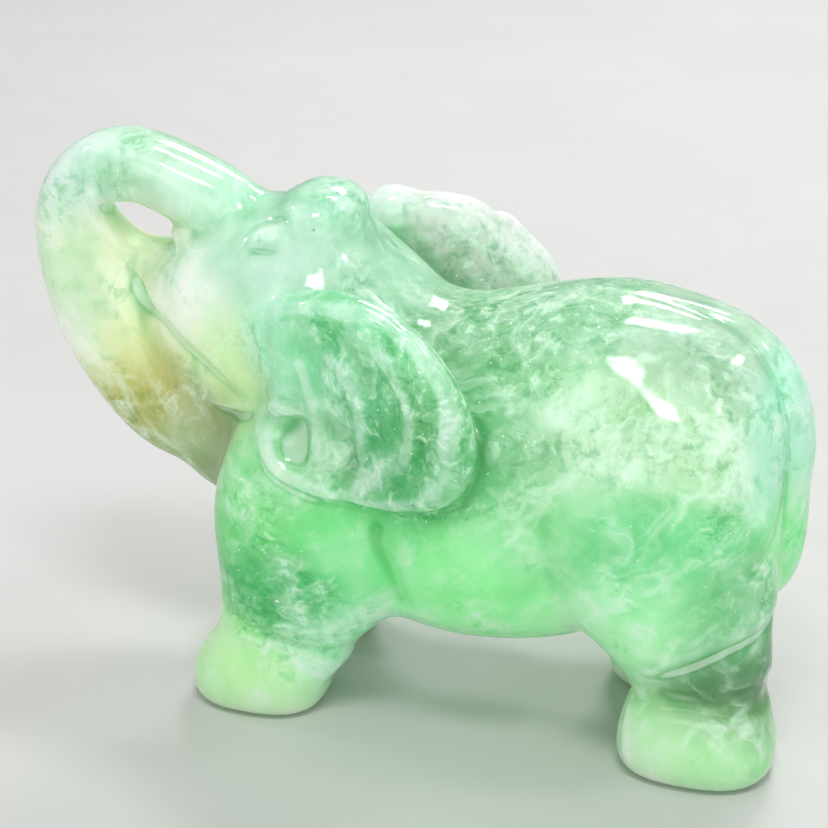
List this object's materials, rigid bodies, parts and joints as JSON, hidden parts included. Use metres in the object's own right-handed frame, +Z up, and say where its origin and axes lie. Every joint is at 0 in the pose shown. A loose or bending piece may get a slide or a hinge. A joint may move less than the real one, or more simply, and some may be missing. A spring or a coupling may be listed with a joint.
{
  "type": "elephant figurine",
  "caption": "Carved translucent stone elephant standing with its trunk raised and curled back to rest on the forehead, ears flared wide and feet flat on the ground.",
  "frame": {"origin": "on the ground, under the middle of the bounding box", "axes": "+X towards the tail, so the elephant faces -X; -Y towards the elephant's left side; +Z up"},
  "size_m": [0.0823, 0.0398, 0.0587],
  "materials": {
    "stone": "polished, translucent, pale green with clear, milky and yellow-brown zones"
  },
  "bodies": {
    "root": {"torso": "stone", "head": "stone", "lower_jaw": "stone", "trunk": "stone", "left_ear": "stone", "right_ear": "stone", "front_left_leg": "stone", "front_left_foot": "stone", "front_right_leg": "stone", "front_right_foot": "stone", "hind_left_leg": "stone", "hind_left_foot": "stone", "hind_right_leg": "stone", "hind_right_foot": "stone", "tail": "stone"}
  },
  "joints": []
}
